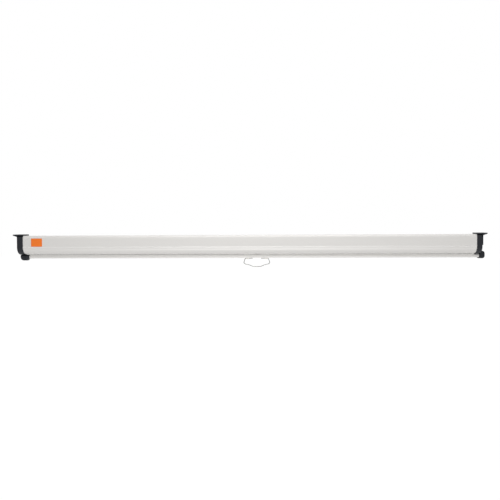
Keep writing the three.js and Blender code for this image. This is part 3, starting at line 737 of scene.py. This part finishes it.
def bar_section():
    """The bar's hollow section, with a round groove for the hem rod that opens at the top."""
    wall, radius, mouth, ring = 1.4, 3, 0.9, 4.2
    groove = (BAR_Y, BAR_HIGH.z - wall - radius)
    open_turn = math.degrees(math.asin(mouth / radius))
    ring_turn = math.degrees(math.acos(radius / ring))
    skin = softened(bar_outline(0))
    top = BAR_HIGH.z
    upper = [p for p in skin if p[1] > top - 1e-6]
    left, right = min(upper), max(upper)
    body = [p for p in skin if p not in upper]
    start = min(range(len(body)), key=lambda i: math.dist(body[i], left))
    body = body[start:] + body[:start]
    if math.dist(body[0], left) > math.dist(body[-1], left):
        body = body[::-1]
    inlet = arc(groove, (radius, radius), 90 - open_turn, open_turn - 270, 28)
    outer = [(BAR_Y - mouth, top), left] + body + [right, (BAR_Y + mouth, top)] + inlet
    under = arc(groove, (ring, ring), 90 - ring_turn, ring_turn - 270, 24)
    return outlines(outer, bar_outline(wall) + under)


def make_bar(finish):
    mesh = drawn_out(bar_section(), BAR_LOW.x, BAR_HIGH.x, finish)
    return piece("weight_bar", mesh, finish, "silver_case", "bottom_bar", "bar_profile", angle=28)


def end_inset(distance, radius):
    """How far a rounded end has drawn in at this distance from its tip."""
    return radius - math.sqrt(radius ** 2 - max(radius - distance, 0) ** 2)


def cap_section(x, low, high, inset=0.0):
    """A bar cap's section between two heights, drawn in at front and back."""
    front, back = [corner.y for corner in box("bar_cap_left")]
    edge = max(min(5 - inset, (high - low) / 2 - 0.05), 0.4)
    return [(x, y, z) for y, z in rounded_box((front + inset, low), (back - inset, high), edge)]


def make_left_bar_cap(finish):
    """Rounded outer corner, a line between two bands and a nose towards the bar."""
    low, high = box("bar_cap_left")
    tip, inner, nose = low.x, BAR_LOW.x - FIT, 7.4
    edge, corner, line = 2.2, 11, (16, 16.8)
    middle = (low.z + high.z) / 2
    shoulder = inner - tip - nose
    places = [edge * (1 - math.cos(math.radians(15 * i))) for i in range(7)]
    places += [edge + (corner - edge) * i / 9 for i in range(1, 10)]
    places += [13.5, 15.9, 16.05, 16.75, 16.9, 21, shoulder - 1, shoulder]
    rings = []
    for d in places:
        inset = end_inset(d, edge) + (0.8 if line[0] < d < line[1] else 0)
        foot = low.z + end_inset(d, corner) + (inset if d > corner else 0)
        rings.append(cap_section(tip + d, foot, high.z - inset, inset))
    # The nose
    for back in (5.6, 3.6, 2.2, 1.2, 0.6, 0.35):
        foot = middle - (middle - low.z) * back / nose
        head = middle + (high.z - middle) * min(back / 1.2, 1)
        rings.append(cap_section(inner - back, foot, head, 0.3 * (1 - back / nose)))
    mesh = loft("left_bar_cap", rings)
    return piece("bar_end_left", mesh, finish, "black_moulding", "bottom_bar", "bar_cap_left")


def make_right_bar_cap(finish):
    """A block with a lip under the bar and a shoulder that stands up beside the end cap."""
    low, high = box("bar_cap_right")
    near, shoulder, far = BAR_HIGH.x + FIT, CAP_HIGH.x + 0.8, high.x
    lip_top, body_top, step, corner = BAR_LOW.z - FIT, BAR_HIGH.z, 0.15, 7.5
    rings = []
    # The lip under the bar
    for back, rise in ((2.8, 0.5), (2.6, 0.2), (2.2, 0), (0, 0)):
        rings.append(cap_section(near - back, low.z + 0.3 + rise, lip_top - rise, 0.5 + rise))
    # The block beyond the bar's end
    for d in (0, 0.1, 0.3, 0.5):
        rings.append(cap_section(near + d, low.z + step, body_top - end_inset(d, 0.5), step))
    rings.append(cap_section(shoulder, low.z + step, body_top, step))
    # The shoulder, and the rounded end
    for d in (0, 0.15, 0.4, 0.8):
        rings.append(cap_section(shoulder + d, low.z, high.z - end_inset(d, 0.8)))
    for i in range(13):
        d = corner * (1 - math.sin(math.radians(7.5 * i)))
        cut = end_inset(d, corner) * 0.97
        rings.append(cap_section(far - d, low.z + cut, high.z - cut, end_inset(d, 2.5)))
    mesh = loft("right_bar_cap", rings)
    return piece("bar_end_right", mesh, finish, "black_moulding", "bottom_bar", "bar_cap_right")


# Handle, clips, label, screws and brackets

WIRE_RADIUS = 1.25
WIRE_Z = box("pull_handle")[1].z - WIRE_RADIUS


def make_handle(finish):
    """One bent wire whose two ends lie in the clips and point at each other."""
    low, high = box("pull_handle")
    middle = (low.x + high.x) / 2
    # The right half, from its end in the clip round to the grip.
    half = [(15, 0), (41.2, 0), (46.5, -15.1), (42, -20.1), (28, -23.1), (13, -29.5)]
    route = half + [(-x, z) for x, z in reversed(half)]
    points = [(middle + x, WIRE_Z + z, 0) for x, z in route]
    source = mesh_of("route", points, edges=[(i, i + 1) for i in range(len(points) - 1)])
    mesh = grown(WIRE, source, Bend=3.4, Radius=WIRE_RADIUS, Sides=16, Finish=finish)
    turn = Matrix.Translation((0, BAR_Y, 0)) @ ALONG_Y
    return piece("wire_handle", mesh, finish, "handle_wire", "handle", "pull_handle", turn=turn)


def bevelled(mesh, width):
    """A mesh with its sharp edges rounded. Width is in the mesh's own units."""
    host = hosted(mesh)
    bevel = host.modifiers.new("edges", "BEVEL")
    bevel.width = width
    bevel.segments = 2
    bevel.limit_method = "ANGLE"
    bevel.angle_limit = math.radians(30)
    return taken(host)


def whole_faces(node):
    """A copy of a CAD node in millimetres, with its flat faces made whole again."""
    mesh, flat = bpy.data.meshes.new(node), math.radians(1)
    with edited(mesh) as work:
        work.from_mesh(frame["nodes"][node].data)
        bmesh.ops.scale(work, vec=(1 / MM, 1 / MM, 1 / MM), verts=work.verts)
        bmesh.ops.remove_doubles(work, verts=work.verts, dist=1e-3)
        bmesh.ops.dissolve_limit(work, angle_limit=flat, verts=work.verts, edges=work.edges)
    return mesh


def eased(node, name, finish, slot, body, width):
    """A CAD node's own shape with its edges eased."""
    return piece(name, bevelled(whole_faces(node), width), finish, slot, body, node)


def clip_section():
    """A saddle under the wire, with a base behind it for the screw."""
    _, back, top = box("handle_clip_left")[1]
    radius, bore, under = 2.75, 1.55, top - 1.2
    outer = [(BAR_Y - radius, top)] + arc((BAR_Y, WIRE_Z), (radius, radius), 180, 360, 24)
    base = [(BAR_Y + radius, under), (back, under), (back, top), (BAR_Y + bore, top)]
    inner = arc((BAR_Y, WIRE_Z), (bore, bore), 360, 180, 16) + [(BAR_Y - bore, top)]
    return outlines(outer + base + inner)


def make_clip(side, finish):
    node = f"handle_clip_{side}"
    low, high = box(node)
    mesh = bevelled(drawn_out(clip_section(), low.x, high.x, finish), 0.25)
    return piece(f"wire_clip_{side}", mesh, finish, "white_moulding", "bottom_bar", node)


def make_label(finish):
    """A domed rectangle with round corners, flat on the casing's face."""
    low, high = box("label_plate")
    corner, rings = 2.5, []
    for depth, inset in ((0, 0), (0.3, 0), (0.5, 0.08), (0.68, 0.28), (0.78, 0.6), (0.8, 1.1)):
        start, end = (low.x + inset, low.z + inset), (high.x - inset, high.z - inset)
        outline = rounded_box(start, end, corner - inset, 8)
        rings.append([(x, high.y - depth, z) for x, z in outline])
    mesh = loft("label", rings)
    return piece("orange_badge", mesh, finish, "orange_label", "casing", "label_plate")


def screw_shape(name, radius, head, tall, length):
    """A pan head screw with a cross recess, pointing down its own Z."""
    rim, tip, chamfer = 0.25 * tall, 0.6 * radius, 1.2
    profile = [(0, -length), (tip, -length), (radius, -length + chamfer), (radius, 0)]
    profile += [(head, 0), (head, rim)]
    for turn in [math.radians(angle) for angle in (20, 40, 60, 75)]:
        profile.append((head * math.cos(turn), rim + (tall - rim) * math.sin(turn)))
    body = hosted(lathe(name, profile + [(0, tall)]))
    slots = []
    for turn in (0, math.pi / 2):
        mesh = bpy.data.meshes.new("slot")
        with edited(mesh) as work:
            bmesh.ops.create_cube(work, size=1)
            bmesh.ops.scale(work, vec=(1.15 * head, 0.26 * head, tall), verts=work.verts)
            bmesh.ops.rotate(work, matrix=Matrix.Rotation(turn, 3, "Z"), verts=work.verts)
            bmesh.ops.translate(work, vec=(0, 0, tall), verts=work.verts)
        slots.append(hosted(mesh))
        cut = body.modifiers.new("recess", "BOOLEAN")
        cut.operation = "DIFFERENCE"
        cut.solver = "EXACT"
        cut.object = slots[-1]
    return taken(body, *slots)


def placed_copies(name, shape, places, finish, slot, body, nodes):
    """Copies of one shape at these points, each turned by its own angles."""
    pattern = hosted(shape)
    source = mesh_of("places", [place for place, _ in places])
    turns = source.attributes.new("turn", "FLOAT_VECTOR", "POINT")
    for item, (_, turn) in zip(turns.data, places):
        item.vector = turn
    mesh = grown(COPIES, source, Piece=pattern, Finish=finish)
    bpy.data.objects.remove(pattern)
    return piece(name, mesh, finish, slot, body, *nodes)


def make_screws(finish):
    """Four case screws through the brackets, and one through each clip."""
    case_head, clip_head = 2.2, 1.1
    seat = box("case_screw_right_front")[1].x - case_head
    case, nodes = [], []
    for name, side in (("left", -1), ("right", 1)):
        for row, spin in (("front", 0.4), ("back", 1.1)):
            node = f"case_screw_{name}_{row}"
            at = middle_of(node)
            turn = Matrix.Rotation(side * math.pi / 2, 3, "Y") @ Matrix.Rotation(spin, 3, "Z")
            case.append(((side * seat, at.y, at.z), turn.to_euler()))
            nodes.append(node)
    shape = screw_shape("case_screw", radius=1.4, head=2.8, tall=case_head, length=30)
    placed_copies("case_screws", shape, case, finish, "bright_steel", "casing", nodes)
    small, nodes = [], []
    for name in ("left", "right"):
        node = f"clip_screw_{name}"
        at = middle_of(node)
        small.append(((at.x, at.y, box(node)[0].z + clip_head), (math.pi, 0, 0.3)))
        nodes.append(node)
    shape = screw_shape("clip_screw", radius=1.1, head=1.9, tall=clip_head, length=4)
    placed_copies("clip_screws", shape, small, finish, "bright_steel", "bottom_bar", nodes)


# Screen cloth, roller and spring

JOINTS = {joint["name"]: joint for joint in frame["record"]["behaviour"]["joints"]}
TRAVEL = JOINTS["bar_drop"]["range_m"][1]


def cloth_mesh(name, path, half, thick, columns):
    """A strip of cloth along a path of (y, z, normal y, normal z, height above the hem)."""
    across = [half * (2 * i / columns - 1) for i in range(columns + 1)]
    points, heights, rears = [], [], []
    for side in (0, 1):
        for y, z, out_y, out_z, height in path:
            for x in across:
                points.append((x, y - out_y * thick * side, z - out_z * thick * side))
                heights.append(height)
                rears.append(side)
    rows, wide = len(path), columns + 1
    faces = []
    for side in (0, 1):
        base = side * rows * wide
        for r in range(rows - 1):
            for c in range(columns):
                a = base + r * wide + c
                faces.append((a, a + 1, a + wide + 1, a + wide))
    shift = rows * wide
    rim = list(range(wide)) + [r * wide + columns for r in range(1, rows)]
    rim += [(rows - 1) * wide + c for c in range(columns - 1, -1, -1)]
    rim += [r * wide for r in range(rows - 2, 0, -1)]
    for a, b in zip(rim, rim[1:] + rim[:1]):
        faces.append((a, b, b + shift, a + shift))
    mesh = mesh_of(name, points, faces)
    for key, values in (("height_above_hem", heights), ("rear_side", rears)):
        mesh.attributes.new(key, "FLOAT", "POINT").data.foreach_set("value", values)
    with edited(mesh) as work:
        bmesh.ops.recalc_face_normals(work, faces=work.faces)
    return mesh


def share_along(weight):
    """Where on the way a smooth step reaches this weight."""
    return 0.5 - math.sin(math.asin(1 - 2 * weight) / 3)


def make_hanging_cloth(finish):
    """The cloth between roll and bar. Its rows lie close at rest and even when the bar is down."""
    low, high = box("fabric_drop")
    rows = 96
    path = []
    for i in range(rows + 1):
        weight = i / rows
        z = high.z - (high.z - low.z) * share_along(weight)
        height = (z - low.z) * MM + (1 - weight) * TRAVEL
        path.append((low.y, z, -1, 0, height))
    mesh = cloth_mesh("cloth", path, high.x, high.y - low.y, 8)
    thing = piece("screen_drop", mesh, finish, "screen_cloth", None, "fabric_drop", angle=60)
    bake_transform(thing)


def make_rolled_cloth(finish):
    """The rest of the cloth, wound on the tube from the outside in."""
    low, high = box("fabric_roll")
    pitch, thickness, clear, steps, first_height = 0.4, 0.34, 0.02, 48, 0.06
    outer, inner = (high.z - low.z) / 2, TUBE_TOP - AXIS.z + FIT
    turns = (outer - inner - clear) / pitch
    count = int(turns * steps)
    path, length = [], 0.0
    for i in range(count + 1):
        angle = 2 * math.pi * i / steps
        radius = outer - pitch * i / steps
        out_y, out_z = math.cos(angle), math.sin(angle)
        path.append((AXIS.y + radius * out_y, AXIS.z + radius * out_z, out_y, out_z, length))
        length += radius * 2 * math.pi / steps * MM
    path = [(*place, first_height + height) for *place, height in path]
    mesh = cloth_mesh("roll", path, high.x, thickness, 6)
    thing = piece("rolled_cloth", mesh, finish, "screen_cloth", "roller", "fabric_roll", angle=60)


def make_spring(finish):
    """The coil about the roller's axis, at its rest twist."""
    low, high = box("torsion_spring")
    wire, turns, radius = 1.1, 14, 9.5
    pitch = (high.x - low.x - 2 * wire) / turns
    sizes = {"Turns": float(turns), "Pitch": pitch, "Radius": radius, "Wire": wire}
    sizes["Steps"] = turns * 24
    mesh = grown(COIL, mesh_of("start", [(0, 0, 0)]), Finish=finish, **sizes)
    turn = Matrix.Translation((low.x + wire, AXIS.y, AXIS.z)) @ ALONG_X
    return piece("coil_spring", mesh, finish, "spring_steel", "casing", "torsion_spring", turn=turn)


# The pieces

aluminium = coated_aluminium()
black_plastic = moulding("black_plastic", "191b20", "24262c", 0.5)
coat = powder_coat()
label = printed_label()
bright = bare_metal("bright_steel", "a9aaa8", "c6c7c5", 0.32)
drawn_wire = bare_metal("drawn_wire", "868684", "a3a29f", 0.34)
spring_wire = bare_metal("spring_wire", "5c5d60", "7b7c7e", 0.42)
brass = bare_metal("bush_brass", "a5894a", "c4a862", 0.36)
white_plastic = moulding("white_plastic", "e6e2dc", "f1eeea", 0.5, 1400, 0.03)
grey_plastic = moulding("grey_plastic", "84878a", "969a9d", 0.6)
tube_metal = bare_metal("tube_aluminium", "b6b9bc", "d2d4d5", 0.42, (0.01, 1, 1))
cloth = screen_cloth()

make_casing(aluminium)
make_end_cap(-1, black_plastic, bore=4.3)
make_end_cap(1, black_plastic, bore=7.3)
make_bar(aluminium)
make_left_bar_cap(black_plastic)
make_right_bar_cap(black_plastic)
make_handle(drawn_wire)
for name in ("left", "right"):
    make_clip(name, white_plastic)
    eased(f"bracket_{name}", f"steel_bracket_{name}", coat, "black_steel", "casing", 0.35)
make_label(label)
make_screws(bright)
make_hanging_cloth(cloth)
make_rolled_cloth(cloth)
make_spring(spring_wire)

# Solids that show as they are, each in the finish of its material.
KEPT = {
    bright: [
        "spindle_shaft", "notched_disc", "idle_pin", "pawl_pin_upper", "pawl_pin_lower", "hem_rod",
    ],
    spring_wire: ["shaft_clip", "lock_pawl_upper", "lock_pawl_lower"],
    grey_plastic: ["spring_anchor", "roller_plug_left", "roller_plug_right", "spring_plug"],
    brass: ["bearing_bush"],
    tube_metal: ["roller_tube"],
}
for finish, nodes in KEPT.items():
    for node in nodes:
        for material_slot in frame["nodes"][node].material_slots:
            material_slot.material = finish


# Floor and backdrop, in metres

WHITE = (1, 1, 1, 1)
FLOOR_Z = -2.7
FLOOR_HALF = 60


def emptied(holder):
    """The node tree of a material or a world, with nothing in it."""
    holder.use_nodes = True
    holder.node_tree.nodes.clear()
    return Graph(holder.node_tree)


def seen(graph):
    """1 for what the camera, a glossy or a clear surface sees, 0 for light on the object."""
    camera, glossy, clear = [
        graph.node("ShaderNodeLightPath", out=f"Is {kind} Ray")
        for kind in ("Camera", "Glossy", "Transmission")
    ]
    return (camera + glossy + clear).clamped()


def make_world():
    """Plain white where it is seen, and dimmer as a light."""
    world = bpy.data.worlds.new("world")
    bpy.context.scene.world = world
    graph = emptied(world)
    inputs = {"Color": WHITE, "Strength": seen(graph) * 0.6 + 0.4}
    light = graph.node("ShaderNodeBackground", inputs=inputs)
    graph.node("ShaderNodeOutputWorld", inputs={"Surface": light})


def make_floor():
    """Pale paper that nearly glows white where it is seen, and keeps a trace of shadow."""
    material = bpy.data.materials.new("floor")
    graph = emptied(material)
    paper = graph.node("ShaderNodeBsdfDiffuse", inputs={"Color": tone("f4f4f4")})
    glow = graph.node("ShaderNodeEmission", inputs={"Color": WHITE, "Strength": 1.04})
    inputs = {0: seen(graph) * 0.97, 1: paper, 2: glow}
    both = graph.node("ShaderNodeMixShader", inputs=inputs)
    graph.node("ShaderNodeOutputMaterial", inputs={"Surface": both})
    half, low = FLOOR_HALF, FLOOR_Z
    corners = [(-half, -half, low), (half, -half, low), (half, half, low), (-half, half, low)]
    mesh = mesh_of("floor", corners, [(0, 1, 2, 3)])
    mesh.materials.append(material)
    floor = linked(bpy.data.objects.new("floor", mesh))


make_world()
make_floor()
